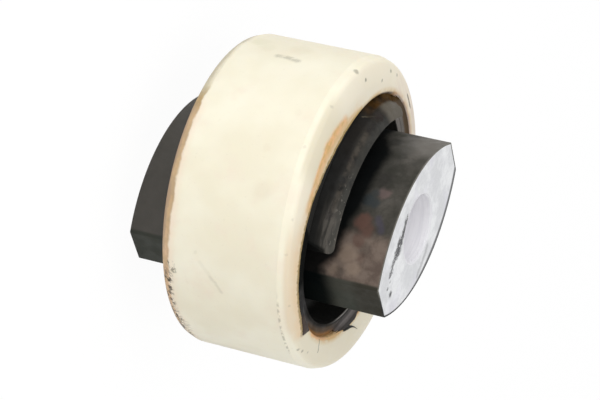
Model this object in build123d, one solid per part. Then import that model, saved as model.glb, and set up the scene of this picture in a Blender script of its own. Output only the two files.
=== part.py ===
from build123d import *
from math import pi
import os

# Control-arm bush of the rubber-metal kind: a moulded nylon outer sleeve that is pressed into
# its seat, a lens-shaped aluminium inner core that is clamped by one long bolt, and a moulded
# rubber body bonded between the two.
#
# Frame: +Z runs along the bolt axis. The origin lies on that axis, on the core's lower end
# face. X is the long direction of the lens-shaped core, Y the direction across it.

# ---- driving dimensions, millimetres ---------------------------------------------------------
sleeve_diameter = 66.0
sleeve_width = 29.4
rim_crown_radial = 5.2          # how far the rim's gentle crown starts in from the diameter
rim_crown_drop = 0.95           # height the crown loses before it turns down the side
rim_turn_round = 1.4            # round between the crown and the lead-in cone
lead_in_drop = 0.65             # radius lost over the lead-in cone, up to that turn
lead_in_length = 1.9
window_long = 55.0              # oval window through the sleeve, along X
window_short = 45.4             # and along Y
window_edge_round = 0.8

core_length = 55.8
core_long = 40.4                # lens outline over its rubber skin, along X
core_thick = 24.7               # along Y
core_flat = 8.6                 # width of the flat at each tip of the lens
core_corner_round = 0.5
skin_thickness = 0.35
bolt_hole_diameter = 14.2
bolt_hole_chamfer = 0.35

liner_tip_thickness = 2.9       # rubber left on the sleeve's inner wall at the window's tips
liner_flank_thickness = 1.8     # and at its flanks
liner_setback = 1.3             # liner's lip below the sleeve's end face
web_thickness = 10.0            # rubber disc that joins core and liner
groove_floor_round = 1.8

stop_thickness = 3.9            # bump stop, measured in from the sleeve's window
stop_span = 40.0                # its length along X
stop_height = 4.2               # how far it stands proud of the sleeve's end face
stop_crown_drop = 1.0           # height lost from the crown to the shoulder
stop_shoulder_setback = 2.1     # shoulder's distance in from the window
stop_shoulder_round = 1.2
stop_end_round = 1.2

# ---- worked-out values -----------------------------------------------------------------------
mid_height = core_length / 2
sleeve_radius = sleeve_diameter / 2
half_width = sleeve_width / 2
half_web = web_thickness / 2
liner_half_height = half_width - liner_setback
stop_crown = half_width + stop_height
clearance_cut = 2.0             # overshoot of cutting bodies past the faces they open


def window_outline(inset=0.0):
    """Oval of the sleeve's window, drawn smaller by inset on every side."""
    return Ellipse(window_long / 2 - inset, window_short / 2 - inset)


def lens_outline(inset=0.0):
    """Lens of the inner core over its skin: two flank arcs joined by short tip flats."""
    half_long, half_thick, half_flat = core_long / 2, core_thick / 2, core_flat / 2
    right_foot, right_top = (half_long, -half_flat), (half_long, half_flat)
    left_foot, left_top = (-half_long, -half_flat), (-half_long, half_flat)
    outline = Wire(
        [
            Edge.make_line(right_foot, right_top),
            Edge.make_three_point_arc(right_top, (0, half_thick), left_top),
            Edge.make_line(left_top, left_foot),
            Edge.make_three_point_arc(left_foot, (0, -half_thick), right_foot),
        ]
    )
    lens = Sketch() + make_face(outline)
    lens = fillet(lens.vertices(), core_corner_round)
    return offset(lens, -inset) if inset else lens


def slab(outline, low, high):
    """Upright prism of an outline between two heights above the sleeve's mid plane."""
    return extrude(Pos(0, 0, low) * outline, high - low)


def edges_at(solid, height, longest=sleeve_diameter * 4):
    """Edges that lie level at a height above or below the sleeve's mid plane."""
    return solid.edges().filter_by(
        lambda edge: abs(abs(edge.center().Z) - height) < 0.01
        and edge.bounding_box().size.Z < 0.01
        and edge.length < longest
    )


def outer_sleeve():
    """Nylon ring with crowned rims, turned about Z, with its oval window moulded through."""
    turn_height = half_width - rim_crown_drop
    cone_foot = (sleeve_radius, turn_height - lead_in_length)
    turn = (sleeve_radius - lead_in_drop, turn_height)
    crown_start = (sleeve_radius - rim_crown_radial, half_width)
    inside = window_short / 4
    quarter = [
        Edge.make_line((inside, 0), (inside, half_width)),
        Edge.make_line((inside, half_width), crown_start),
        Edge.make_tangent_arc(crown_start, (1, 0), turn),
        Edge.make_line(turn, cone_foot),
        Edge.make_line(cone_foot, (sleeve_radius, 0)),
        Edge.make_line((sleeve_radius, 0), (inside, 0)),
    ]
    section = Sketch() + make_face(Wire(quarter))
    turn_corner = section.vertices().sort_by_distance(turn)[0]
    section = fillet(turn_corner, rim_turn_round)
    upper_half = revolve(Plane.XZ * section, Axis.Z)
    ring = upper_half + mirror(upper_half, Plane.XY)
    ring -= slab(window_outline(), -half_width - clearance_cut, half_width + clearance_cut)
    window_length = pi * window_long
    return fillet(edges_at(ring, half_width, window_length), window_edge_round)


def stop_plan():
    """Plan of one bump stop: an arc of the window's rim on the +Y side, with rounded ends."""
    reach = window_short / 2 + clearance_cut
    arc = window_outline(-clearance_cut) - window_outline(stop_thickness)
    plan = arc & (Pos(0, reach / 2) * Rectangle(stop_span, reach))
    inner_corners = plan.vertices().sort_by(Axis.Y)[:2]
    return fillet(inner_corners, stop_end_round)


def stop_crown_body():
    """Sloped crown of the bump stop, from the liner's lip up to the crown."""
    shoulder = stop_crown - stop_crown_drop
    lip_oval = Pos(0, 0, liner_half_height) * window_outline()
    shoulder_oval = Pos(0, 0, shoulder) * window_outline(stop_shoulder_setback)
    crown_oval = Pos(0, 0, stop_crown) * window_outline(stop_thickness)
    crown = loft([lip_oval, shoulder_oval], ruled=True) + loft([shoulder_oval, crown_oval], ruled=True)
    crown = fillet(edges_at(crown, shoulder), stop_shoulder_round)
    return crown & slab(stop_plan(), 0, stop_crown + clearance_cut)


def groove():
    """Hollow between core and liner on the upper side, with a rounded floor on the web."""
    inner_wall = Ellipse(
        window_long / 2 - liner_tip_thickness, window_short / 2 - liner_flank_thickness
    )
    plan = inner_wall - stop_plan() - lens_outline()
    hollow = slab(plan, half_web, half_width + clearance_cut)
    return fillet(edges_at(hollow, half_web), groove_floor_round)


def rubber_body():
    """Liner, web, core skin and the two bump stops, moulded and bonded as one piece."""
    disc = slab(window_outline(), -liner_half_height, liner_half_height)
    crown = stop_crown_body()
    hollow = groove()
    body = disc + crown + mirror(crown, Plane.XY) - hollow - mirror(hollow, Plane.XY)
    body += slab(lens_outline(), -mid_height, mid_height)
    return body - slab(lens_outline(skin_thickness), -mid_height, mid_height)


def inner_core():
    """Aluminium lens prism with machined ends and one bolt hole along it."""
    core = slab(lens_outline(skin_thickness), -mid_height, mid_height)
    core -= Cylinder(bolt_hole_diameter / 2, core_length)
    hole_edges = core.edges().filter_by(GeomType.CIRCLE).filter_by(
        lambda edge: abs(edge.radius - bolt_hole_diameter / 2) < 0.01
    )
    return chamfer(hole_edges, bolt_hole_chamfer)


def main():
    """Build each piece about the mid plane, lift it onto the origin and write it."""
    os.makedirs("parts", exist_ok=True)
    pieces = {
        "outer_sleeve": outer_sleeve(),
        "rubber_body": rubber_body(),
        "inner_core": inner_core(),
    }
    for name, piece in pieces.items():
        export_step(Pos(0, 0, mid_height) * piece, f"parts/{name}.step")


if __name__ == "__main__":
    main()
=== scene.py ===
import bpy
import math
import random
from functools import cached_property
from mathutils import Matrix, Vector


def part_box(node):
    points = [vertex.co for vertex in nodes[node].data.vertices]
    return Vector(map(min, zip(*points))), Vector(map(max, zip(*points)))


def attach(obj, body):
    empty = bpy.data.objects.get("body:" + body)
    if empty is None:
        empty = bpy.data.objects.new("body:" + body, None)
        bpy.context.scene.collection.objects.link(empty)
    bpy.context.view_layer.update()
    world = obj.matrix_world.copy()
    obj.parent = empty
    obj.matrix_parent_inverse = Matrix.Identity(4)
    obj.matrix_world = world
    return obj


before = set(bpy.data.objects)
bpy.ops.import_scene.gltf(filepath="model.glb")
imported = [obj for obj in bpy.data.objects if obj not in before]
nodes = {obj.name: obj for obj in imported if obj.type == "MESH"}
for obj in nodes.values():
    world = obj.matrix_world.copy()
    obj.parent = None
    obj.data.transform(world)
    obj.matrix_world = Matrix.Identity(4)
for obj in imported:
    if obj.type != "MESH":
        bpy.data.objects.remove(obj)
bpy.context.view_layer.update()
scene = bpy.context.scene

# Rubber metal bush: a worn cream nylon sleeve, a black rubber body and a machined aluminium core.
# The solids come from the frame. This script gives them their materials, adds the thin moulding
# flash round the upper window, and sets up floor, light and camera.
#
# Places and lengths are millimetres in the row frame, unless a name says otherwise: +Z runs
# along the bolt hole, z = 0 is the core's lower end face and X is the core's long direction.
# Near is the side toward -X and +Y, which the camera faces, and far the opposite one.

# ---- sizes read from the solids --------------------------------------------------------------
MM = 0.001


def corners(name):
    """Lowest and highest corner of a solid, to a tenth of a millimetre."""
    return [[round(v / MM, 1) for v in corner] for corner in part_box(name)]


window_a, window_b, _ = corners("rubber_body")[1]    # half axes of the sleeve's oval window
foot = corners("outer_sleeve")[0][2]                 # height of the sleeve's lower end face
face_height = corners("outer_sleeve")[1][2]          # and of its upper one
core_end = corners("inner_core")[1][2]
mid_height = core_end / 2

# ---- sizes that a box doesn't show, the same as in the CAD -----------------------------------
window_round = 0.8                      # round on the window's edge
rim_start, rim_arc_radius = 27.8, 11.4  # where the end face rounds away, and how sharply
lip_depth = 1.3                         # liner's lip below the sleeve's end face
lip_tip_width, lip_flank_width = 2.9, 1.8
liner_height = face_height - lip_depth
stop_shoulder = face_height + 3.2       # top of the bump stop's slope
lead_in_end = face_height - 2.8         # where the rim's cone meets the sleeve's side
groove_middle = -5.0                    # outward from the window's wall, between liner and core
bore_radius = 7.1                       # of the bolt hole
flank_centre, flank_radius = 17.02, 29.02  # arc of the bare core's far flank, centre on the Y axis

# ---- rubber film on the window's edge --------------------------------------------------------
# turn of the window's oval in degrees, how far the film reaches out over the nylon there, and how
# far it runs in over the liner's lip
near_film = [
    (62, 0.0, 0.3), (70, 0.1, 0.4), (76, 0.3, 0.5), (82, 0.6, 0.5), (90, 0.8, 0.5),
    (98, 1.0, 0.5), (105, 1.4, 0.5), (112, 1.75, 0.5), (117, 2.2, 0.5), (122, 2.5, 0.5),
    (131, 2.7, 0.5), (138, 2.6, 0.5), (145, 2.4, 0.6), (151, 2.2, 0.7), (157, 2.0, 0.8),
    (163, 1.75, 0.9), (170, 1.6, 0.9), (177, 1.65, 0.9), (182, 1.9, 0.9), (186, 2.6, 0.8),
    (188.5, 1.2, 0.6), (191, 0.1, 0.3),
]
far_film = [
    (229, 0.0, 0.3), (233, 0.3, 0.8), (239, 0.6, 1.3), (244, 0.8, 1.4), (247, 0.9, 1.4),
    (250, 0.4, 1.4), (256, 0.3, 1.4), (300, 0.2, 1.4), (345, 0.15, 1.5), (366, 0.12, 1.6),
    (378, 0.1, 1.5), (384, 0.0, 0.6), (386, 0.0, 0.2),
]
longest_reach = 3.0                     # more than any reach in near_film

film_step = 0.5                         # degrees of turn between two cross-sections
wave_span = 8                           # cross-sections that one slow wave of the border lasts
fade_span = 12                          # cross-sections over which a film thins out at its ends
film_thickness, film_edge = 0.14, 0.02  # on the nylon, and at the film's own border
lip_points, face_points = 5, 8          # points of a cross-section over the lip and the nylon
corner_start, corner_drop = 0.12, 0.45  # where the film turns onto the nylon, out and down
film_sink = 0.08                        # how deep the film's underside lies in what carries it

# sliver of flash: turn of the window's oval, distance out from its wall, width
sliver = [(235, 0.35, 1.0), (239, 0.75, 1.1), (242, 1.15, 0.95), (244.5, 1.75, 0.7),
          (247, 2.7, 0.45), (249.2, 3.9, 0.04)]
# its cross-section: share of the width to each side, height over the nylon
sliver_section = [(-0.5, -0.05), (-0.5, 0.12), (0.0, 0.24), (0.5, 0.1), (0.5, -0.05)]
sliver_lean = 1.1                       # degrees of turn across a millimetre of its width


def level(height, *places):
    """Points that lie at one height."""
    return [(x, y, height) for x, y in places]


# ---- marks on the nylon ----------------------------------------------------------------------
# A stroke is its points, half its width, its strength and the solid share of its half width. A
# spot is x, y, z, its radius and its strength. Near the end face, marks lie just under it.
by_face = face_height - 0.1
amber_crescent = [
    (level(by_face, (9.5, 21.8), (5.5, 23.6), (2.5, 24.6)), 1.5, 0.8, 0.3),
    (level(by_face, (2.0, 25.1), (-1.5, 26.2), (-5.5, 26.5)), 3.2, 0.85, 0.35),
    (level(by_face, (-5.5, 26.5), (-9.0, 25.6), (-12.5, 23.9), (-16.5, 21.7)), 2.5, 0.85, 0.35),
]
peach_stain = [(level(by_face, (-26.8, -5.8), (-25.0, -9.2), (-22.6, -12.4)), 1.2, 0.9, 0.4)]
gold_spots = [(24.5, 10.9, 42.0, 2.0, 0.9)]
face_specks = [
    (13.0, 29.7, 41.5, 0.9, 0.5), (14.2, 26.1, 42.6, 0.6, 0.7), (20.2, 19.6, 42.6, 0.5, 0.6),
    (25.0, 17.5, 42.6, 0.7, 0.7), (27.1, 14.0, 42.5, 0.6, 0.6), (0.9, 31.9, 41.4, 0.7, 0.25),
    (-9.6, 31.4, 40.2, 0.5, 0.12), (-21.8, 23.9, 41.6, 0.45, 0.16),
    (-26.6, 18.7, 41.2, 0.5, 0.12), (-29.0, 15.8, 21.9, 0.6, 0.08),
    (-30.9, 8.0, 41.9, 0.45, 0.18), (-31.8, -5.5, 41.7, 0.6, 0.5),
    (-30.9, -7.0, 42.0, 0.5, 0.45), (-29.6, -9.0, 42.2, 0.45, 0.35),
]
side_smudge = [
    ([(12.0, 30.8, 24.8), (12.1, 30.7, 26.4), (11.9, 30.8, 27.7), (11.5, 30.9, 29.3)], 1.15, 0.36, 0.1),
]
side_scratch = [
    ([(-29.9, 14.0, 22.9), (-31.0, 11.4, 25.3)], 0.7, 0.06, 0.1),
    ([(-31.0, 11.4, 25.1), (-31.3, 10.3, 26.2), (-31.9, 8.5, 27.4)], 0.6, 0.15, 0.1),
]
face_scratch = [(level(face_height, (-25.1, -10.3), (-26.6, -12.7)), 0.3, 0.6)]
rim_mark = [(level(42.4, (29.6, 5.2), (29.6, 1.2)), 0.42, 0.85)]
side_tan = [(-18.8, 27.1, 34.4, 2.8, 0.14), (-11.3, 31.0, 32.7, 1.2, 0.08), (-2.7, 32.9, 36.0, 1.2, 0.08)]
side_grime = [(16.5, 28.6, 18.7, 3.0, 0.4), (14.7, 29.5, 21.1, 2.5, 0.3), (16.5, 28.4, 27.5, 3.5, 0.3)]
foot_ticks = [(-30.7, 12.1, 16.2, 1.3, 1.0), (-31.1, 11.0, 16.9, 1.0, 0.8)]

# ---- marks on the rubber ---------------------------------------------------------------------
stop_end_line = [([(9.2, 20.6, 42.9), (10.3, 19.6, 44.0), (11.2, 18.8, 44.9)], 0.35, 0.7)]
stop_crack = [([(10.9, 18.9, 45.0), (11.9, 18.2, 45.6), (11.3, 18.2, 46.0)], 0.5, 0.9)]
stop_crack_spot = [(12.3, 18.4, 45.1, 1.1, 0.8)]
red_stains = [(-9.4, 10.8, 49.2, 2.6, 0.95), (-10.6, 10.4, 50.6, 2.4, 0.8),
              (-12.6, 9.5, 49.2, 2.2, 0.6), (-15.4, 8.0, 50.8, 1.6, 0.35)]
pale_stains = [(-15.6, 7.9, 47.9, 3.0, 0.55), (-17.6, 6.4, 49.4, 2.6, 0.5), (-18.4, 5.8, 45.6, 1.6, 0.45)]
dim_stains = [(1.0, 12.3, 49.9, 2.6, 0.5), (13.7, 9.0, 46.7, 2.6, 0.5), (-19.3, 5.1, 43.2, 1.8, 0.6),
              (-18.7, 5.6, 47.0, 1.4, 0.35), (-14.2, 8.7, 51.2, 2.0, 0.3), (11.5, 10.0, 50.8, 3.2, 0.2)]
worn_strokes = [([(-7.5, 11.4, 52.6), (-3.0, 12.2, 53.0)], 3.0, 0.22, 0.05),
                ([(8.0, 11.2, 52.0), (11.0, 10.2, 53.0)], 2.6, 0.3, 0.05)]
lilac_stroke = [([(-7.9, 11.2, 52.0), (-9.2, 10.8, 52.9), (-10.2, 10.5, 53.4)], 1.2, 0.55, 0.1)]
rose_spots = [(-2.1, 12.3, 51.2, 1.9, 0.5)]
slate_spots = [(-4.4, 12.0, 48.6, 2.2, 0.9), (-4.9, 11.9, 50.0, 1.5, 0.8), (-2.6, 12.2, 49.4, 1.4, 0.6)]

# ---- marks on the core's end face ------------------------------------------------------------
residue_strokes = [
    (level(core_end, (-2.9, 7.5), (-3.1, 7.4)), 0.5, 0.9, 0.4),
    (level(core_end, (-4.0, 6.8), (-5.3, 6.1)), 1.2, 1.0, 0.4),
    (level(core_end, (-5.6, 5.8), (-8.0, 4.8)), 1.1, 1.0, 0.5),
    (level(core_end, (-8.0, 4.9), (-9.9, 4.1)), 1.9, 1.0, 0.4),
    (level(core_end, (-9.8, 4.1), (-11.5, 3.6)), 0.9, 0.95, 0.4),
    (level(core_end, (-12.3, 3.5), (-14.3, 2.3)), 1.0, 0.9, 0.4),
]
residue_blots = [(-15.9, -2.0, core_end, 1.0, 1.0), (-16.5, 0.4, core_end, 0.55, 0.8),
                 (-15.0, 0.9, core_end, 0.4, 0.5)]
rubbed_stroke = [(level(core_end, (2.2, -8.4), (-0.8, -9.6), (-4.2, -10.4)), 0.9, 0.55, 0.3)]

# ---- camera and light ------------------------------------------------------------------------
rotation_vector = Vector((-2.368388, 0.142424, -1.537594))    # axis times angle in radians
turn_about_axis = 0.602126                                    # further turn about Z, in radians
pixels_per_mm = 4.80849                                       # at the sleeve's middle
centre_px = (294.228, 200.486)                                # where that middle is seen
distance_mm = 489.339
image_width, image_height, sensor_mm = 600, 400, 36.0

floor_size_m = 8
floor_tone, floor_glow, floor_glow_share = 0.9, 1.015, 0.94
world_strength = 0.675
# name, place and size in metres, power in watts
lamps = [("key", (0.12, 0.62, 0.22), 0.40, 1.05), ("fill", (-0.20, 0.25, 0.60), 0.5, 1.3)]


def add_camera():
    """Camera from a rotation, a distance and the place of the sleeve's middle in the picture."""
    turn = Matrix.Rotation(rotation_vector.length, 3, rotation_vector.normalized())
    turn = turn @ Matrix.Rotation(turn_about_axis, 3, "Z")
    offset = Vector(((centre_px[0] - image_width / 2) / pixels_per_mm,
                     (centre_px[1] - image_height / 2) / pixels_per_mm,
                     distance_mm))
    data = bpy.data.cameras.new("camera")
    data.sensor_width = sensor_mm
    data.lens = distance_mm * pixels_per_mm * sensor_mm / image_width
    data.clip_start = 0.01
    data.clip_end = 20
    camera = bpy.data.objects.new("camera", data)
    place = (-(turn.transposed() @ offset) + Vector((0, 0, mid_height))) * MM
    facing = turn.transposed() @ Matrix(((1, 0, 0), (0, -1, 0), (0, 0, -1)))
    camera.matrix_world = Matrix.Translation(place) @ facing.to_4x4()
    scene.collection.objects.link(camera)
    scene.camera = camera


def srgb(r, g, b):
    """Linear colour of an sRGB one given in 0 to 255."""
    def linear(v):
        v /= 255
        return v / 12.92 if v <= 0.04045 else ((v + 0.055) / 1.055) ** 2.4
    return (linear(r), linear(g), linear(b), 1)


# ---- tools for node materials ----------------------------------------------------------------
class Shade:
    """Builds one node material.

    place, x, y and z are the position. A mask is a value from 0 to 1, and colour is the coat so far.
    """

    def __init__(self, name):
        self.material = bpy.data.materials.new(name)
        self.material.use_nodes = True
        self.tree = self.material.node_tree
        self.tree.nodes.clear()
        out = self.tree.nodes.new("ShaderNodeOutputMaterial")
        self.bsdf = self.tree.nodes.new("ShaderNodeBsdfPrincipled")
        self.tree.links.new(self.bsdf.outputs[0], out.inputs["Surface"])
        coords = self.tree.nodes.new("ShaderNodeTexCoord")
        self.place = self.vec("SCALE", coords.outputs["Object"], scale=1 / MM)
        split = self.tree.nodes.new("ShaderNodeSeparateXYZ")
        self.put(split.inputs[0], self.place)
        self.x, self.y, self.z = split.outputs
        self.colour = None

    def put(self, socket, value):
        """Links a socket to another one, or sets it to a constant."""
        if isinstance(value, bpy.types.NodeSocket):
            self.tree.links.new(value, socket)
        elif value is not None:
            socket.default_value = value

    def math(self, op, *values):
        """One operation on numbers."""
        node = self.tree.nodes.new("ShaderNodeMath")
        node.operation = op
        for socket, value in zip(node.inputs, values):
            self.put(socket, value)
        return node.outputs[0]

    def vec(self, op, *values, scale=None):
        """One operation on vectors."""
        node = self.tree.nodes.new("ShaderNodeVectorMath")
        node.operation = op
        for socket, value in zip(node.inputs, values):
            self.put(socket, value)
        if scale is not None:
            self.put(node.inputs["Scale"], scale)
        is_number = op in ("LENGTH", "DISTANCE", "DOT_PRODUCT")
        return node.outputs["Value" if is_number else "Vector"]

    def noise(self, size, detail=3.0, rough=0.55, stretch=None, shift=0.0, colour=False):
        """Noise with features of about a size. A stretch below 1 draws them out along that axis."""
        node = self.tree.nodes.new("ShaderNodeTexNoise")
        place = self.place
        if stretch:
            place = self.vec("MULTIPLY", place, stretch)
        if shift:
            place = self.vec("ADD", place, (shift, shift * 0.7, -shift))
        self.put(node.inputs["Vector"], place)
        self.put(node.inputs["Scale"], 1 / size)
        self.put(node.inputs["Detail"], detail)
        self.put(node.inputs["Roughness"], rough)
        return node.outputs["Color" if colour else "Fac"]

    def ramp(self, value, low, high, to_low=0.0, to_high=1.0):
        """Smooth step of a value from to_low at low to to_high at high."""
        node = self.tree.nodes.new("ShaderNodeMapRange")
        node.interpolation_type = "SMOOTHSTEP"
        for socket, number in zip(node.inputs, (value, low, high, to_low, to_high)):
            self.put(socket, number)
        return node.outputs[0]

    def below_face(self, start, end):
        """Mask that rises from 0 to 1 between two depths below the sleeve's upper end face."""
        return self.ramp(self.z, face_height - start, face_height - end)

    def both(self, *masks):
        """Product of masks and plain shares: where all of them are."""
        result = masks[0]
        for mask in masks[1:]:
            result = self.math("MULTIPLY", result, mask)
        return result

    def most(self, *masks):
        """Largest of the masks: where any of them is."""
        result = masks[0]
        for mask in masks[1:]:
            result = self.math("MAXIMUM", result, mask)
        return result

    def outside(self, mask):
        """Where the mask isn't."""
        return self.math("SUBTRACT", 1.0, mask)

    def mix(self, factor, a, b):
        """Colour a, turning to b as the factor goes from 0 to 1."""
        node = self.tree.nodes.new("ShaderNodeMix")
        node.data_type = "RGBA"
        for index, value in ((0, factor), (6, a), (7, b)):
            self.put(node.inputs[index], value)
        return node.outputs[2]

    def paint(self, mask, tone, share=None):
        """Lays a tone over the coat so far where the mask is, or a share of it."""
        self.colour = self.mix(mask if share is None else self.both(mask, share), self.colour, tone)

    def warped(self, size, amount, shift=3.0):
        """The position moved about by noise, for ragged borders."""
        push = self.noise(size, 3, 0.6, shift=shift, colour=True)
        push = self.vec("SUBTRACT", push, (0.5, 0.5, 0.5))
        return self.vec("ADD", self.place, self.vec("SCALE", push, scale=2 * amount))

    def spots(self, at, marks):
        """Soft round marks of a table."""
        found = []
        for x, y, z, radius, strength in marks:
            gap = self.vec("DISTANCE", at, (x, y, z))
            found.append(self.ramp(gap, radius, radius * 0.35, 0, strength))
        return self.most(*found)

    def strokes(self, at, marks):
        """Marks along the polylines of a table."""
        return self.most(*[self.stroke(at, *mark) for mark in marks])

    def stroke(self, at, points, half_width, strength=1.0, solid=0.4):
        """One mark along a polyline, soft at its border."""
        gaps = []
        for a, b in zip(points, points[1:]):
            a, b = Vector(a), Vector(b)
            along = b - a
            from_a = self.vec("SUBTRACT", at, tuple(a))
            share = self.vec("DOT_PRODUCT", from_a, tuple(along / along.length_squared))
            share = self.math("MAXIMUM", self.math("MINIMUM", share, 1.0), 0.0)
            nearest = self.vec("SCALE", tuple(along), scale=share)
            gaps.append(self.vec("LENGTH", self.vec("SUBTRACT", from_a, nearest)))
        gap = gaps[0]
        for other in gaps[1:]:
            gap = self.math("MINIMUM", gap, other)
        return self.ramp(gap, half_width, half_width * solid, 0, strength)

    def length(self, u, v):
        """Length of the flat vector u, v."""
        squares = [self.math("MULTIPLY", w, w) for w in (u, v)]
        return self.math("SQRT", self.math("ADD", *squares))

    def degrees(self, y, x):
        """Direction of x, y in degrees, 0 to 360 from +X."""
        angle = self.math("MULTIPLY", self.math("ARCTAN2", y, x), 180 / math.pi)
        return self.math("FLOORED_MODULO", angle, 360.0)

    def oval(self, a, b):
        """Distance outward from the border of an oval with half axes a and b, exact at the border."""
        size = self.length(self.math("DIVIDE", self.x, a), self.math("DIVIDE", self.y, b))
        ratio = self.math("DIVIDE", self.radius, size)
        return self.math("MULTIPLY", self.math("SUBTRACT", size, 1.0), ratio)

    @cached_property
    def radius(self):
        """Distance from the bolt axis."""
        return self.length(self.x, self.y)

    @cached_property
    def turn(self):
        """Angle about the bolt axis."""
        return self.degrees(self.y, self.x)

    @cached_property
    def off_wall(self):
        """Distance outward from the window's wall."""
        return self.oval(window_a, window_b)

    @cached_property
    def window_turn(self):
        """Turn of the window's oval, the same as in the film tables."""
        return self.degrees(self.math("DIVIDE", self.y, window_b), self.math("DIVIDE", self.x, window_a))

    def lookup(self, value, rows, full):
        """Second column of a table at a value of its first, by straight lines. full is above all."""
        node = self.tree.nodes.new("ShaderNodeValToRGB")
        low, high = rows[0][0], rows[-1][0]
        points = node.color_ramp.elements
        for _ in range(len(rows) - 2):
            points.new(0.5)
        for point, row in zip(points, rows):
            point.position = (row[0] - low) / (high - low)
            point.color = (row[1] / full,) * 3 + (1,)
        self.put(node.inputs[0], self.math("DIVIDE", self.math("SUBTRACT", value, low), high - low))
        return self.math("MULTIPLY", node.outputs[0], full)

    def bump(self, *layers):
        """Adds bumps: (height value, strength from 0 to 1, depth)."""
        normal = None
        for height, strength, depth in layers:
            node = self.tree.nodes.new("ShaderNodeBump")
            self.put(node.inputs["Height"], height)
            self.put(node.inputs["Strength"], strength)
            self.put(node.inputs["Distance"], depth * MM)
            self.put(node.inputs["Normal"], normal)
            normal = node.outputs[0]
        self.put(self.bsdf.inputs["Normal"], normal)


# ---- nylon -----------------------------------------------------------------------------------
def nylon_ground(s, cloud, on_face):
    """Cream with soft clouds, pink patches and fine specks, with painted shade on the end face, most on its
    -Y side.
    """
    s.colour = s.mix(s.ramp(cloud, 0.35, 0.68), srgb(240, 233, 210), srgb(247, 242, 222))
    s.paint(s.ramp(s.noise(9, 3, 0.6, shift=20), 0.52, 0.75, 0, 0.5), srgb(240, 226, 206))
    s.paint(s.ramp(s.noise(0.55, 2, 0.5, shift=8), 0.62, 0.78, 0, 0.10), srgb(190, 182, 158))
    # painted shade: the end face darker than the side, and darker still on its -Y side
    s.paint(on_face, srgb(228, 219, 199), 0.7)
    s.paint(s.both(on_face, s.ramp(s.turn, 150, 190)), srgb(205, 197, 170), 0.35)


def nylon_amber(s, ragged, amber_grain):
    """Amber film of old bonding agent as a crescent on the face; painted shade on the rim beside it, and an
    amber tint with painted shade on the rim toward -X.
    """
    amber_tone = s.mix(s.ramp(amber_grain, 0.35, 0.65), srgb(206, 162, 84), srgb(236, 178, 114))
    olive = s.both(s.ramp(s.off_wall, 3.4, 1.4), s.ramp(amber_grain, 0.3, 0.6))
    amber_tone = s.mix(olive, amber_tone, srgb(190, 160, 92))
    crescent = s.both(s.strokes(ragged, amber_crescent), s.below_face(2.2, 1.0))
    s.paint(crescent, amber_tone)
    # painted shade on the rim beside the crescent
    rim_painted_shade = s.both(s.below_face(2.1, 1.3), s.ramp(s.turn, 78, 95), s.ramp(s.turn, 122, 112))
    s.paint(s.both(rim_painted_shade, s.math("SUBTRACT", 0.75, crescent)), srgb(218, 209, 184))
    # amber tint with painted shade on the rim toward -X
    low_rim_amber_and_shade = s.both(s.below_face(2.2, 1.1), s.ramp(s.turn, 130, 146), s.ramp(s.turn, 188, 172))
    s.paint(low_rim_amber_and_shade, srgb(224, 206, 178), 0.72)


def nylon_film_border(s):
    """Yellow-brown fringe and a peach halo outside the border of the near rubber film."""
    past_film = s.math("SUBTRACT", s.off_wall, s.lookup(s.window_turn, near_film, longest_reach))
    by_film = s.both(s.ramp(s.window_turn, 66, 76), s.ramp(s.window_turn, 190, 182),
                     s.below_face(1.6, 0.8))
    halo_reach = s.math("ADD", past_film, s.noise(1.2, 2, 0.5, shift=61))
    halo_share = s.ramp(s.noise(3.0, 3, 0.6, shift=34), 0.3, 0.6, 0.25, 0.85)
    s.paint(s.both(by_film, s.ramp(halo_reach, 4.4, 1.2), halo_share), srgb(226, 200, 164))
    fringe_reach = s.math("ADD", past_film, s.noise(0.7, 2, 0.5, shift=62))
    s.paint(s.both(by_film, s.ramp(fringe_reach, 1.5, 0.95)), srgb(136, 112, 58), 0.8)


def nylon_window_edge(s, ragged, amber_grain):
    """Amber in the window's edge: darkest toward +X and +Y, palest toward -X and -Y; a painted shadow line at
    the +X tip.
    """
    patchy = s.ramp(s.noise(3.0, 3, 0.6, shift=31), 0.3, 0.6, 0.15, 0.8)
    s.paint(s.both(s.ramp(s.off_wall, 1.9, 0.5), s.below_face(2.6, 1.1), patchy), srgb(205, 172, 112))
    patchy = s.ramp(s.noise(1.8, 3, 0.6, shift=40), 0.25, 0.6, 0.55, 1.0)
    inner_wall = s.both(s.ramp(s.off_wall, 0.75, 0.25), patchy)
    deep_amber = s.mix(s.ramp(amber_grain, 0.3, 0.7), srgb(92, 58, 16), srgb(190, 120, 44))
    dark_side = s.both(s.ramp(s.x, 2, 8), s.ramp(s.y, 4, 8), 0.9)
    s.paint(inner_wall, s.mix(dark_side, deep_amber, srgb(48, 31, 10)))
    pale_side = s.both(inner_wall, s.ramp(s.x, -14, -17), s.ramp(s.y, -8, -12))
    s.paint(pale_side, srgb(236, 198, 140), 0.95)
    # painted shadow: a thin dark line in the window's wall at the +X tip, where nylon meets liner
    tip_shadow_line = s.both(s.ramp(s.off_wall, 0.5, 0.25), s.ramp(s.x, 22, 24.5))
    s.paint(tip_shadow_line, srgb(84, 64, 40), 0.85)
    s.paint(s.both(s.spots(ragged, gold_spots), s.ramp(s.off_wall, 1.0, 0.5)), srgb(176, 128, 66))
    s.paint(s.strokes(ragged, peach_stain), srgb(226, 176, 124))


def nylon_far_face(s, on_face):
    """Pinkish cast on the far side of the end face, with fine streaks along Y."""
    far_side = s.both(on_face, s.ramp(s.x, 16, 25), s.ramp(s.y, 16, 6))
    streaks = s.ramp(s.noise(1.6, 3, 0.6, stretch=(1.4, 0.12, 1), shift=52), 0.42, 0.62, 0.25, 1.0)
    s.paint(s.both(far_side, streaks), srgb(216, 198, 186), 0.75)


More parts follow.
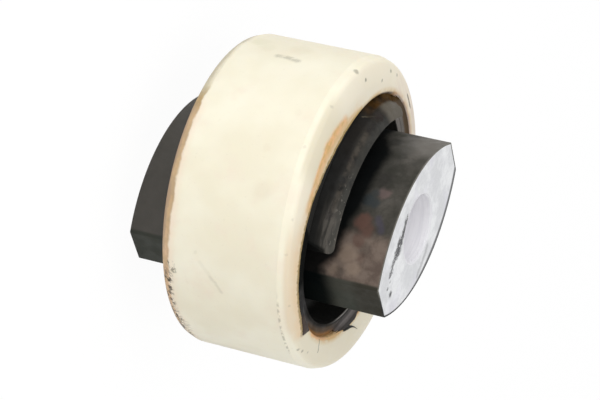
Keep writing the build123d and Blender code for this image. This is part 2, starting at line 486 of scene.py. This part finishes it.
def nylon_foot_rim(s, band_edge):
    """Golden band round the lower rim, with a brown foot, a pale halo and a grey end near +Y."""
    border = s.math("ADD", band_edge, s.ramp(s.turn, 140, 185, 0, 0.4))
    band = s.both(s.ramp(border, foot + 2.9, foot + 2.3), s.ramp(s.radius, 30.0, 31.6),
                  s.ramp(s.turn, 88, 99, 0.15, 1))
    grain = s.ramp(s.noise(2.4, 3, 0.6, shift=60), 0.4, 0.62)
    olive_tone = s.mix(grain, srgb(146, 118, 46), srgb(176, 142, 70))
    golden_tone = s.mix(grain, srgb(182, 148, 86), srgb(208, 170, 120))
    band_tone = s.mix(s.ramp(s.turn, 138, 156), olive_tone, golden_tone)
    dull = s.ramp(s.noise(1.6, 3, 0.6, shift=64), 0.5, 0.66, 0, 0.6)
    s.paint(band, s.mix(dull, band_tone, srgb(142, 118, 68)), 0.97)
    brown_foot = s.both(s.ramp(band_edge, foot + 1.7, foot + 1.3), s.ramp(s.radius, 30.0, 31.0),
                        s.ramp(s.turn, 98, 108), s.ramp(s.turn, 158, 146))
    s.paint(brown_foot, srgb(120, 84, 36), 0.7)
    halo = s.both(s.ramp(band_edge, foot + 4.8, foot + 2.2), s.ramp(s.radius, 31.5, 32.5),
                  s.ramp(s.turn, 92, 104))
    s.paint(halo, srgb(240, 210, 186), 0.4)
    grey_end = s.both(s.ramp(band_edge, foot + 2.3, foot + 1.6), s.ramp(s.radius, 30.0, 31.6),
                      s.ramp(s.turn, 100, 86), s.ramp(s.turn, 30, 50))
    s.paint(grey_end, srgb(166, 158, 132), 0.5)


def nylon_marks(s, ragged, ragged_far):
    """Specks, a smudge and scratches. Gives the mask of the dark ones, which dent the surface."""
    blurred = s.ramp(s.noise(0.9, 3, 0.6, shift=84), 0.38, 0.55, 0.35, 1)
    smudge = s.both(s.strokes(ragged, side_smudge), blurred)
    s.paint(s.spots(ragged_far, side_tan), srgb(206, 184, 158))
    dark = s.most(s.spots(ragged, face_specks), smudge, s.strokes(ragged, side_scratch),
                  s.strokes(ragged, face_scratch), s.strokes(ragged, rim_mark))
    s.paint(dark, srgb(92, 88, 70))
    return dark


def nylon_dirt(s, ragged, ragged_far, cloud, band_edge):
    """A darker line along the crease where the rim's cone ends, and the scuffed, dusty edge by the foot."""
    by_crease = s.math("ABSOLUTE", s.math("SUBTRACT", s.z, lead_in_end))
    crease = s.both(s.ramp(by_crease, 0.35, 0.1), s.ramp(s.turn, 158, 168),
                    s.ramp(s.turn, 196, 188), s.ramp(s.noise(1.3, 3, 0.6, shift=70), 0.42, 0.6))
    s.paint(crease, srgb(128, 120, 98), 0.45)
    chips = s.ramp(s.noise(0.9, 4, 0.7, shift=80), 0.46, 0.58)
    chipped = s.both(s.ramp(s.turn, 158, 166), s.ramp(s.turn, 222, 205),
                     s.ramp(band_edge, foot + 3.7, foot + 2.5), s.ramp(s.z, foot - 0.2, foot + 1.4))
    s.paint(s.both(chips, chipped), srgb(54, 48, 34), 0.92)
    fine = s.ramp(s.noise(0.5, 3, 0.6, stretch=(1, 1, 0.3), shift=87), 0.53, 0.6)
    upright = s.both(fine, s.ramp(s.turn, 184, 187), s.ramp(s.turn, 203, 198),
                     s.ramp(s.z, foot + 5.0, foot + 3.2))
    s.paint(upright, srgb(104, 100, 76), 0.6)
    fine = s.ramp(s.noise(0.55, 3, 0.6, stretch=(0.5, 0.5, 1), shift=89), 0.5, 0.58)
    s.paint(s.both(fine, s.spots(ragged, foot_ticks)), srgb(80, 76, 60), 0.8)
    cloudy = s.ramp(s.noise(7, 4, 0.6, shift=92), 0.3, 0.6, 0.4, 1)
    dusty = s.both(s.ramp(s.turn, 199, 207), s.ramp(s.turn, 270, 212), s.ramp(s.z, 40, 16), cloudy)
    s.paint(dusty, srgb(172, 164, 134), 0.4)
    grime = s.both(s.spots(ragged_far, side_grime), s.ramp(cloud, 0.3, 0.6, 0.4, 1))
    s.paint(grime, srgb(214, 210, 176))


def nylon_material():
    """Worn cream nylon of the sleeve."""
    s = Shade("nylon_worn")
    ragged = s.warped(0.9, 0.35)
    ragged_far = s.warped(2.5, 0.9, 11)
    cloud = s.noise(16, 3, 0.5)
    amber_grain = s.noise(1.4, 4, 0.65, shift=5)
    on_face = s.below_face(1.6, 0.4)
    wander = s.both(s.math("SUBTRACT", s.noise(5, 3, 0.6, shift=50), 0.5), 2.2)
    band_edge = s.math("ADD", s.z, wander)

    nylon_ground(s, cloud, on_face)
    nylon_amber(s, ragged, amber_grain)
    nylon_film_border(s)
    nylon_window_edge(s, ragged, amber_grain)
    nylon_far_face(s, on_face)
    nylon_foot_rim(s, band_edge)
    dark = nylon_marks(s, ragged, ragged_far)
    nylon_dirt(s, ragged, ragged_far, cloud, band_edge)

    s.put(s.bsdf.inputs["Base Color"], s.colour)
    s.put(s.bsdf.inputs["Roughness"], s.ramp(s.noise(3.5, 4, 0.6, shift=90), 0.3, 0.7, 0.42, 0.58))
    s.bsdf.inputs["Specular IOR Level"].default_value = 0.28
    s.bsdf.inputs["Subsurface Weight"].default_value = 0.12
    s.bsdf.inputs["Subsurface Radius"].default_value = (1.0, 0.8, 0.5)
    s.bsdf.inputs["Subsurface Scale"].default_value = 0.0015
    s.bump((s.noise(0.35, 3, 0.6), 0.25, 0.03), (s.noise(4.5, 3, 0.5, shift=15), 0.35, 0.12),
           (s.outside(dark), 0.5, 0.08))
    return s.material


# ---- rubber ----------------------------------------------------------------------------------
def rubber_ground(s, crown, off_core):
    """Matt black; the bump stop's crown greyer from wear and painted light. Gives the painted shade in a dark
    strip beside the nylon.
    """
    s.colour = s.mix(s.ramp(s.noise(4.0, 4, 0.6), 0.35, 0.7), srgb(24, 24, 22), srgb(44, 42, 37))
    s.paint(s.ramp(s.noise(0.5, 3, 0.65, shift=4), 0.5, 0.72, 0, 0.25), srgb(66, 64, 58))
    # the crown greyer: partly wear, partly painted light, with more painted light toward -X
    s.paint(crown, srgb(68, 68, 64), 0.2)
    s.paint(s.both(crown, s.ramp(s.x, -2, -8)), srgb(86, 85, 79), 0.18)
    # painted shade: a dark strip low on the slope, beside the nylon's edge
    shade_by_nylon = s.both(off_core, s.ramp(s.z, 44.9, 43.9), s.ramp(s.y, 6, 9), s.ramp(s.off_wall, 0.3, -0.2))
    s.paint(shade_by_nylon, srgb(12, 13, 15), 0.7)
    return shade_by_nylon


def stop_slope(s, off_core, below):
    """The bump stop's slope: streaks, worn top and smears. Gives the painted shadow at its end toward -X."""
    streaky = s.ramp(s.noise(1.0, 3, 0.6, stretch=(0.16, 0.16, 1.3), shift=19), 0.4, 0.65, 0.2, 0.8)
    streaks = s.both(off_core, s.ramp(s.z, 43.2, 45.0), s.ramp(s.x, -9, -15), streaky)
    slope = s.both(off_core, s.ramp(s.y, 4, 7), below)
    s.paint(slope, srgb(24, 19, 14), 0.4)
    s.paint(s.both(off_core, s.ramp(s.x, 2, -6), below), srgb(16, 17, 16), 0.65)
    s.paint(streaks, srgb(84, 80, 74))
    worn_top = s.both(slope, s.ramp(s.z, 44.6, 45.3), s.ramp(s.x, 8, 4), s.ramp(s.x, -16, -12),
                      s.ramp(s.noise(2.6, 4, 0.65, shift=66), 0.35, 0.6))
    s.paint(worn_top, srgb(78, 72, 64), 0.55)
    smears = s.both(off_core, s.ramp(s.y, 4, 7), s.ramp(s.z, 44.0, 45.0),
                    s.ramp(s.noise(3.2, 4, 0.7, shift=67), 0.5, 0.64))
    s.paint(smears, srgb(20, 17, 20), 0.5)
    # painted shadow: the stop's end toward -X, in the gap by the core's end
    shadowed_stop_end = s.both(off_core, s.ramp(s.x, -19.2, -19.8), s.ramp(s.y, 8, 10), s.ramp(s.z, 45.9, 45.2))
    s.paint(shadowed_stop_end, srgb(14, 15, 14), 0.85)
    return shadowed_stop_end


def stop_worn_end(s, ragged, off_core, below):
    """The bump stop's +X end: a pale line, a brown-stained hollow and a paler worn part."""
    s.paint(s.both(s.strokes(ragged, stop_end_line), off_core), srgb(88, 82, 70))
    hollow = s.both(off_core, below, s.ramp(s.x, 9.3, 10.2), s.below_face(1.6, 0.8))
    s.paint(hollow, srgb(30, 25, 18), 0.75)
    outward = s.math("ADD", s.x, s.both(s.z, 0.6))
    worn_end = s.both(off_core, s.ramp(outward, 40.0, 42.5), s.ramp(s.x, 8, 12), s.below_face(1.4, 0.6))
    s.paint(worn_end, srgb(94, 88, 78), 0.8)


def liner_lip(s, off_core):
    """The liner's lip and the film that runs on from it. Gives the lip's painted shadow."""
    lip = s.both(s.ramp(s.z, liner_height - 0.25, liner_height - 0.1), s.below_face(-0.15, 0.1), off_core,
                 s.most(s.ramp(s.y, 1.5, -1.5), s.ramp(s.x, 21, 23)))
    film_top = s.both(s.below_face(1.1, 0.9), s.below_face(0.3, 0.6))
    s.paint(lip, s.mix(film_top, srgb(78, 74, 72), srgb(116, 110, 108)), 0.85)
    tip_film = s.both(s.ramp(s.x, -23, -25), s.ramp(s.y, 8, 5), s.ramp(s.z, liner_height - 0.2, liner_height))
    s.paint(tip_film, srgb(30, 28, 28), 0.92)
    s.paint(s.both(tip_film, s.ramp(s.x, -27.6, -28.6), s.ramp(s.y, 3, 1)), srgb(62, 48, 38), 0.8)
    brown_tip = s.both(lip, s.ramp(s.x, -14, -17), s.ramp(s.y, 0, -3), 0.55)
    s.paint(brown_tip, srgb(56, 45, 36), 0.85)
    # a crisp pale line on the lip's inner edge as a painted highlight, with a dark line of painted shade
    # behind it
    inner_edge = s.oval(window_a - lip_tip_width, window_b - lip_flank_width)
    far_edge_highlight_and_shade = s.both(lip, s.ramp(s.y, -12, -15), s.ramp(s.x, -1, -5))
    s.paint(s.both(far_edge_highlight_and_shade, s.ramp(inner_edge, 0.9, 0.5)), srgb(30, 29, 28))
    s.paint(s.both(far_edge_highlight_and_shade, s.ramp(inner_edge, 0.4, 0.25)), srgb(128, 125, 120))
    # bare amber bond where the film has torn off, toward -X and -Y
    bare_reach = s.math("ADD", s.off_wall, s.both(s.noise(1.6, 3, 0.6, shift=44), 0.8))
    bare = s.both(brown_tip, s.ramp(bare_reach, -2.0, -0.9), s.ramp(s.window_turn, 190, 195),
                  s.ramp(s.window_turn, 232, 222))
    s.paint(bare, s.mix(s.ramp(s.off_wall, -1.1, -0.3), srgb(78, 54, 18), srgb(172, 118, 48)))
    # painted shadow on the inner part of the lip toward -X
    shadowed_lip = s.both(lip, s.ramp(s.off_wall, -1.3, -2.4), s.ramp(s.x, -14, -17), s.ramp(s.y, 4, -2))
    s.paint(shadowed_lip, srgb(16, 16, 13), 0.9)
    s.paint(s.both(lip, s.ramp(s.x, 18, 22)), srgb(112, 107, 102), 0.9)
    return shadowed_lip


def liner_amber(s, off_core):
    """Painted shadow along the liner's edge at the +X tip, and amber beside the bump stop. Gives the amber.
    """
    # painted shadow: a thin dark-brown line on the liner where it meets the nylon at the +X tip
    liner_edge_shadow = s.both(off_core, s.ramp(s.off_wall, -0.9, -0.5), s.ramp(s.x, 19, 21), s.below_face(1.6, 1.2))
    s.paint(liner_edge_shadow, srgb(84, 64, 38), 0.85)
    by_stop = s.both(off_core, s.ramp(s.x, 9.0, 14.0), s.ramp(s.y, 6.5, 8.5), s.ramp(s.z, 44.2, 43.4),
                     s.below_face(2.0, 1.5), s.ramp(s.off_wall, -2.8, -1.8))
    amber = s.mix(s.ramp(s.noise(2.2, 4, 0.6, shift=46), 0.3, 0.75), srgb(28, 18, 5), srgb(72, 48, 15))
    outermost = s.both(s.ramp(s.off_wall, -1.2, -0.5), s.ramp(s.x, 18.5, 20.5))
    s.paint(by_stop, s.mix(outermost, amber, srgb(80, 56, 20)), 0.95)
    return by_stop


def stop_flecks(s, ragged, crown, off_core):
    """Pale flecks on the bump stop's crown, partly marks and partly painted glints, and a crack in its
    shoulder. Gives the flecks.
    """
    fine = s.ramp(s.noise(0.45, 2, 0.6, stretch=(0.45, 0.45, 1), shift=9), 0.6, 0.68)
    # pale marks with painted glints on the crown
    flecks = s.both(fine, crown, s.ramp(s.x, -2, -9))
    s.paint(flecks, srgb(132, 126, 118), 0.4)
    crack = s.most(s.strokes(ragged, stop_crack), s.spots(ragged, stop_crack_spot))
    s.paint(s.both(crack, off_core), srgb(26, 16, 12))
    return flecks


def core_skin(s, on_core):
    """Grey-brown skin over the core, painted lighter as painted light at its +X top by the end face, and
    paler at the lower end.
    """
    skin = s.mix(s.ramp(s.noise(5, 4, 0.6, shift=25), 0.35, 0.7), srgb(53, 52, 46), srgb(77, 74, 69))
    # painted light: the flank's +X top, by the end face, painted paler
    lit_top_edge = s.both(s.ramp(s.x, 7.5, 13.5), s.ramp(s.z, 46.5, 52.5), 0.72)
    skin = s.mix(lit_top_edge, skin, srgb(122, 118, 112))
    skin = s.mix(s.both(s.ramp(s.z, 14, 10), 0.8), skin, srgb(94, 91, 87))
    s.paint(on_core, skin)


def skin_stains(s, ragged, blotchy, on_core, near_flank):
    """Tan, red, pale, dim, lilac, rose and slate stains, nearly all on the core's near flank."""
    ragged_x = s.math("ADD", s.x, s.both(s.noise(1.8, 3, 0.6, shift=27), 1.6))
    tan_tone = s.mix(s.ramp(s.noise(3.2, 4, 0.65, shift=29), 0.35, 0.65), srgb(94, 80, 72),
                     srgb(120, 106, 96))
    s.paint(s.both(near_flank, s.ramp(ragged_x, -9.3, -12.0), s.ramp(s.z, 30, 36)), tan_tone, 0.92)
    s.paint(s.both(s.spots(blotchy, red_stains), near_flank), srgb(94, 69, 60))
    s.paint(s.both(s.spots(blotchy, pale_stains), near_flank), srgb(150, 132, 116))
    s.paint(s.both(s.spots(blotchy, dim_stains), on_core), srgb(26, 25, 22))
    patchy = s.ramp(s.noise(1.6, 4, 0.65, shift=55), 0.3, 0.6, 0.3, 1)
    worn = s.both(s.strokes(blotchy, worn_strokes), patchy)
    s.paint(s.both(worn, near_flank), srgb(124, 118, 112))
    s.paint(s.both(s.strokes(ragged, lilac_stroke), near_flank), srgb(72, 68, 84))
    s.paint(s.both(s.spots(blotchy, rose_spots), near_flank), srgb(120, 100, 98))
    s.paint(s.both(s.spots(ragged, slate_spots), near_flank), srgb(50, 56, 58))


def groove_painted_shadow(s, on_core, near_flank, flat_end):
    """Painted shadow on the skin down in the groove, reaching lowest at both ends of the core. Gives its
    masks.
    """
    border = 47.0
    for start, end, drop in ((-6, -9.5, 1.2), (-11, -14, 0.7), (-15.5, -19, 2.8), (8, 17, 4.0)):
        border = s.math("SUBTRACT", border, s.ramp(s.x, start, end, 0, drop))
    height = s.math("SUBTRACT", s.z, border)
    height = s.math("ADD", height, s.both(s.noise(2.0, 3, 0.6, shift=37), 1.2))
    # painted shadow on the near flank by the groove
    flank = s.both(near_flank, s.ramp(height, 2.6, 0.2), s.ramp(s.z, 30, 36), 0.96)
    s.paint(flank, srgb(9, 12, 13))
    # painted shadow on the flat end by the groove
    end = s.both(on_core, s.ramp(s.z, 46.9, 42.9), flat_end, s.ramp(s.z, 30, 36), 0.95)
    s.paint(end, srgb(8, 13, 13))
    return flank, end


def rubber_material():
    """Black moulded rubber: liner, bump stop, flash, and the stained skin over the core."""
    s = Shade("rubber_moulded")
    ragged = s.warped(1.2, 0.5)
    blotchy = s.warped(3.5, 1.3, 17)
    on_core = s.ramp(s.off_wall, groove_middle, groove_middle - 0.4)
    off_core = s.outside(on_core)
    above = s.ramp(s.z, stop_shoulder - 0.3, stop_shoulder + 0.5)
    below = s.outside(above)
    crown = s.both(above, off_core)

    shade_by_nylon = rubber_ground(s, crown, off_core)
    shadowed_stop_end = stop_slope(s, off_core, below)
    stop_worn_end(s, ragged, off_core, below)
    shadowed_lip = liner_lip(s, off_core)
    by_stop = liner_amber(s, off_core)
    flecks = stop_flecks(s, ragged, crown, off_core)

    near_flank = s.both(on_core, s.ramp(s.y, 0, 3))
    flat_end = s.both(on_core, s.ramp(s.x, -19.4, -19.9))
    core_skin(s, on_core)
    skin_stains(s, ragged, blotchy, on_core, near_flank)
    s.paint(flat_end, srgb(58, 62, 55), 0.85)
    s.paint(s.both(flat_end, s.ramp(s.z, 48.5, 52)), srgb(45, 42, 33), 0.8)
    groove_shadow = groove_painted_shadow(s, on_core, near_flank, flat_end)
    cut_end = s.both(on_core, s.ramp(s.z, core_end - 0.25, core_end - 0.05))
    s.paint(cut_end, s.mix(s.ramp(s.y, 4, 0), srgb(108, 106, 98), srgb(30, 30, 30)), 0.9)

    s.put(s.bsdf.inputs["Base Color"], s.colour)
    s.put(s.bsdf.inputs["Roughness"], s.ramp(s.noise(2.2, 4, 0.6, shift=33), 0.3, 0.7, 0.5, 0.72))
    matt = s.most(*groove_shadow, shadowed_lip, shadowed_stop_end, s.both(shade_by_nylon, 0.6), by_stop)
    s.put(s.bsdf.inputs["Specular IOR Level"], s.math("SUBTRACT", 0.18, s.both(matt, 0.15)))
    s.bump((s.noise(0.4, 3, 0.65), 0.4, 0.06), (s.noise(3.0, 3, 0.55, shift=12), 0.35, 0.15),
           (flecks, 0.4, 0.1))
    return s.material


# ---- aluminium -------------------------------------------------------------------------------
def aluminium_ground(s, mill, sparkle):
    """Milled end face: pale grey with clouds, fine cutter lines and a lilac cast."""
    clouds = s.ramp(s.noise(4.5, 4, 0.6, shift=13), 0.35, 0.65)
    s.colour = s.mix(clouds, srgb(210, 211, 213), srgb(230, 231, 232))
    s.paint(s.ramp(sparkle, 0.45, 0.7, 0, 0.22), srgb(196, 196, 200))
    s.paint(s.ramp(mill, 0.55, 0.75, 0, 0.3), srgb(190, 190, 195))
    s.paint(s.ramp(s.noise(7, 2, 0.5, shift=16), 0.5, 0.7, 0, 0.5), srgb(216, 214, 224))


def aluminium_marks(s, on_face):
    """Dark residue in a broken smear, a rubbed place and a dark edge. Gives the residue."""
    ragged = s.warped(0.55, 0.6)
    torn = s.warped(0.9, 1.0, 7)
    flecks = s.ramp(s.noise(0.45, 3, 0.7, shift=21), 0.33, 0.44)
    smear = s.both(s.strokes(torn, residue_strokes), flecks)
    residue = s.both(s.most(smear, s.spots(ragged, residue_blots)), on_face)
    s.paint(residue, srgb(18, 18, 24), 0.97)
    s.paint(s.both(s.strokes(ragged, rubbed_stroke), on_face), srgb(160, 160, 162))
    from_centre = s.vec("DISTANCE", s.place, (0.0, flank_centre, core_end))
    edge_reach = s.math("ADD", from_centre, s.ramp(s.x, -14, 6, -0.4, 0.4))
    dark_edge = s.both(s.ramp(edge_reach, flank_radius - 0.6, flank_radius - 0.32), s.ramp(s.y, 0, -2),
                       on_face)
    s.paint(dark_edge, srgb(56, 56, 58), 0.85)
    return residue


def aluminium_material():
    """Machined aluminium of the core: its milled end faces, and the drawn bolt hole painted paler as painted
    light.
    """
    s = Shade("aluminium_machined")
    past_bore = s.ramp(s.radius, bore_radius + 0.1, bore_radius + 0.35)
    on_face = s.both(s.ramp(s.z, core_end - 0.2, core_end - 0.05), past_bore)
    in_bore = s.ramp(s.radius, bore_radius + 0.5, bore_radius + 0.4)
    mill = s.noise(0.35, 3, 0.6, stretch=(0.12, 1.0, 1.0), shift=3)
    sparkle = s.noise(0.7, 4, 0.7, shift=14)
    aluminium_ground(s, mill, sparkle)
    residue = aluminium_marks(s, on_face)
    drawn = s.noise(0.7, 3, 0.6, stretch=(0.06, 0.06, 1), shift=23)
    # painted light: the bolt hole's wall paler than the face, with fine drawn lines
    bore_lines_and_painted_light = s.mix(s.ramp(drawn, 0.4, 0.65, 0, 0.35), srgb(252, 251, 254), srgb(226, 225, 230))
    bore_lines_and_painted_light = s.mix(s.ramp(s.z, core_end - 0.4, core_end - 0.3, 0, 0.8), bore_lines_and_painted_light, srgb(214, 214, 217))
    s.paint(in_bore, bore_lines_and_painted_light)
    s.put(s.bsdf.inputs["Base Color"], s.colour)
    s.put(s.bsdf.inputs["Metallic"], s.both(s.outside(s.most(residue, in_bore)), 0.8))
    s.put(s.bsdf.inputs["Roughness"], s.ramp(sparkle, 0.3, 0.7, 0.38, 0.5))
    s.bump((mill, 0.35, 0.03), (sparkle, 0.3, 0.04))
    return s.material


def finish_node(name, material):
    """Gives a solid of the frame its material."""
    piece = nodes[name]
    piece.data.materials.clear()
    piece.data.materials.append(material)


# ---- moulding flash --------------------------------------------------------------------------
def between(table, at):
    """Row of a table at a place, with straight lines between its rows."""
    for low, high in zip(table, table[1:]):
        if low[0] <= at <= high[0]:
            share = (at - low[0]) / (high[0] - low[0])
            return [a + (b - a) * share for a, b in zip(low[1:], high[1:])]
    return table[-1][1:]


def edge_point(turn, out, height):
    """Point at a turn of the window, out from its wall, dropped where the face rounds away."""
    c, s = math.cos(turn), math.sin(turn)
    nx, ny = window_b * c, window_a * s
    size = math.hypot(nx, ny)
    x, y = window_a * c + out * nx / size, window_b * s + out * ny / size
    past_rim = max(0.0, math.hypot(x, y) - rim_start)
    return Vector((x, y, height - past_rim ** 2 / (2 * rim_arc_radius)))


def nylon_height(out):
    """Height of the nylon at a distance out from the window's wall."""
    if out >= window_round:
        return face_height
    return face_height - window_round + math.sqrt(window_round ** 2 - (window_round - max(out, 0)) ** 2)


def tube_faces(sections, ring):
    """Faces of a closed tube, from cross-sections of ring points each."""
    faces = []
    for i in range(sections - 1):
        for k in range(ring):
            n = (k + 1) % ring
            faces.append((i * ring + k, i * ring + n, (i + 1) * ring + n, (i + 1) * ring + k))
    faces.append(tuple(range(ring))[::-1])
    faces.append(tuple(range((sections - 1) * ring, sections * ring)))
    return faces


def mesh_piece(name, points, faces, material):
    """Smooth mesh piece that rides on the object."""
    mesh = bpy.data.meshes.new(name)
    mesh.from_pydata([tuple(p * MM) for p in points], [], faces)
    mesh.update()
    for f in mesh.polygons:
        f.use_smooth = True
    piece = bpy.data.objects.new(name, mesh)
    scene.collection.objects.link(piece)
    mesh.materials.append(material)
    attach(piece, "root")


def film_section(reach, toe, wave, ending):
    """Outline of the film's cross-section: distance out from the window's wall, and height."""
    thick = (film_thickness + 0.03 * wave) * ending + film_edge
    rise = (face_height - corner_drop - liner_height) * ending
    width = max(reach, corner_start + 0.05) - corner_start
    over_lip = []
    for j in range(lip_points):
        share = j / lip_points
        over_lip.append((-toe * (1 - share), liner_height + film_edge + rise * share ** 1.6))
    over_face, under = [], []
    for j in range(face_points + 1):
        out = corner_start + width * j / face_points
        over_face.append((out, nylon_height(out) + thick * (1 - 0.8 * (j / face_points) ** 2)))
        under.append((out, nylon_height(out) - film_sink))
    return over_lip + over_face + under[::-1] + [(-toe, liner_height - film_sink)]


def rubber_film(name, table, seed, material):
    """Moulding film that fills the corner over the liner's lip and runs out onto the nylon."""
    rng = random.Random(seed)
    first, last = table[0][0], table[-1][0]
    steps = round((last - first) / film_step)
    rag = [rng.uniform(-1, 1) for _ in range(steps + 1)]
    slow = [rng.uniform(-1, 1) for _ in range(steps // wave_span + 3)]
    points = []
    for i in range(steps + 1):
        turn = first + film_step * i
        reach, toe = between(table, turn)
        k = i / wave_span
        wave = slow[int(k)] * (1 - k % 1) + slow[int(k) + 1] * (k % 1)
        ending = min(1.0, i / fade_span, (steps - i) / fade_span)
        reach += (0.06 * rag[i] + 0.16 * wave) * ending * (1 if reach > 0.25 else 0.35)
        toe += 0.12 * wave * ending
        section = film_section(reach, toe, wave, ending)
        points += [edge_point(math.radians(turn), out, height) for out, height in section]
    faces = tube_faces(steps + 1, len(section))
    mesh_piece(name, points, faces, material)


def torn_flash(material):
    """Curved sliver of torn flash that lies out over the nylon, with a point."""
    points = []
    for turn, out, width in sliver:
        for side, lift in sliver_section:
            at = out + side * width
            place = math.radians(turn + side * width * sliver_lean)
            points.append(edge_point(place, at, nylon_height(at) + lift))
    faces = tube_faces(len(sliver), len(sliver_section))
    mesh_piece("torn_flash", points, faces, material)


# ---- floor, world and lamps ------------------------------------------------------------------
def background_rays(tree):
    """Value that is 1 for rays from the camera and for reflections, so that both see white."""
    path = tree.nodes.new("ShaderNodeLightPath")
    seen = tree.nodes.new("ShaderNodeMath")
    seen.operation = "MAXIMUM"
    tree.links.new(path.outputs["Is Camera Ray"], seen.inputs[0])
    tree.links.new(path.outputs["Is Glossy Ray"], seen.inputs[1])
    return seen.outputs[0]


def floor_material():
    """White to the camera and to reflections, and still showing a soft share of the shadow."""
    material = bpy.data.materials.new("floor")
    material.use_nodes = True
    tree = material.node_tree
    tree.nodes.clear()
    out = tree.nodes.new("ShaderNodeOutputMaterial")
    diffuse = tree.nodes.new("ShaderNodeBsdfDiffuse")
    diffuse.inputs["Color"].default_value = (floor_tone, floor_tone, floor_tone, 1)
    glow = tree.nodes.new("ShaderNodeEmission")
    glow.inputs["Strength"].default_value = floor_glow
    share = tree.nodes.new("ShaderNodeMath")
    share.operation = "MULTIPLY"
    tree.links.new(background_rays(tree), share.inputs[0])
    share.inputs[1].default_value = floor_glow_share
    blend = tree.nodes.new("ShaderNodeMixShader")
    tree.links.new(share.outputs[0], blend.inputs[0])
    tree.links.new(diffuse.outputs[0], blend.inputs[1])
    tree.links.new(glow.outputs[0], blend.inputs[2])
    tree.links.new(blend.outputs[0], out.inputs["Surface"])
    return material


def add_floor():
    bpy.ops.mesh.primitive_plane_add(size=floor_size_m, location=(0, 0, 0))
    floor = bpy.context.object
    floor.name = "floor"
    floor.data.materials.append(floor_material())


def add_world(strength):
    """Even white light of a strength, and plain white behind everything."""
    world = bpy.data.worlds.new("world")
    scene.world = world
    world.use_nodes = True
    tree = world.node_tree
    back = tree.nodes["Background"]
    back.inputs["Color"].default_value = (1, 1, 1, 1)
    level_node = tree.nodes.new("ShaderNodeMapRange")
    tree.links.new(background_rays(tree), level_node.inputs["Value"])
    level_node.inputs["To Min"].default_value = strength
    level_node.inputs["To Max"].default_value = 1.0
    tree.links.new(level_node.outputs[0], back.inputs["Strength"])


def add_lamp(name, place, size, power):
    """Square soft lamp that faces the middle of the bush."""
    data = bpy.data.lights.new(name, "AREA")
    data.shape = "SQUARE"
    data.size = size
    data.energy = power
    lamp = bpy.data.objects.new(name, data)
    lamp.location = place
    aim = Vector((0, 0, mid_height * MM)) - Vector(place)
    lamp.rotation_euler = aim.to_track_quat("-Z", "Y").to_euler()
    scene.collection.objects.link(lamp)


add_camera()
finish_node("outer_sleeve", nylon_material())
rubber = rubber_material()
finish_node("rubber_body", rubber)
rubber_film("rubber_film_near", near_film, 7, rubber)
rubber_film("rubber_film_far", far_film, 8, rubber)
torn_flash(rubber)
finish_node("inner_core", aluminium_material())
add_floor()
add_world(world_strength)
for lamp in lamps:
    add_lamp(*lamp)

scene.view_settings.view_transform = "Standard"
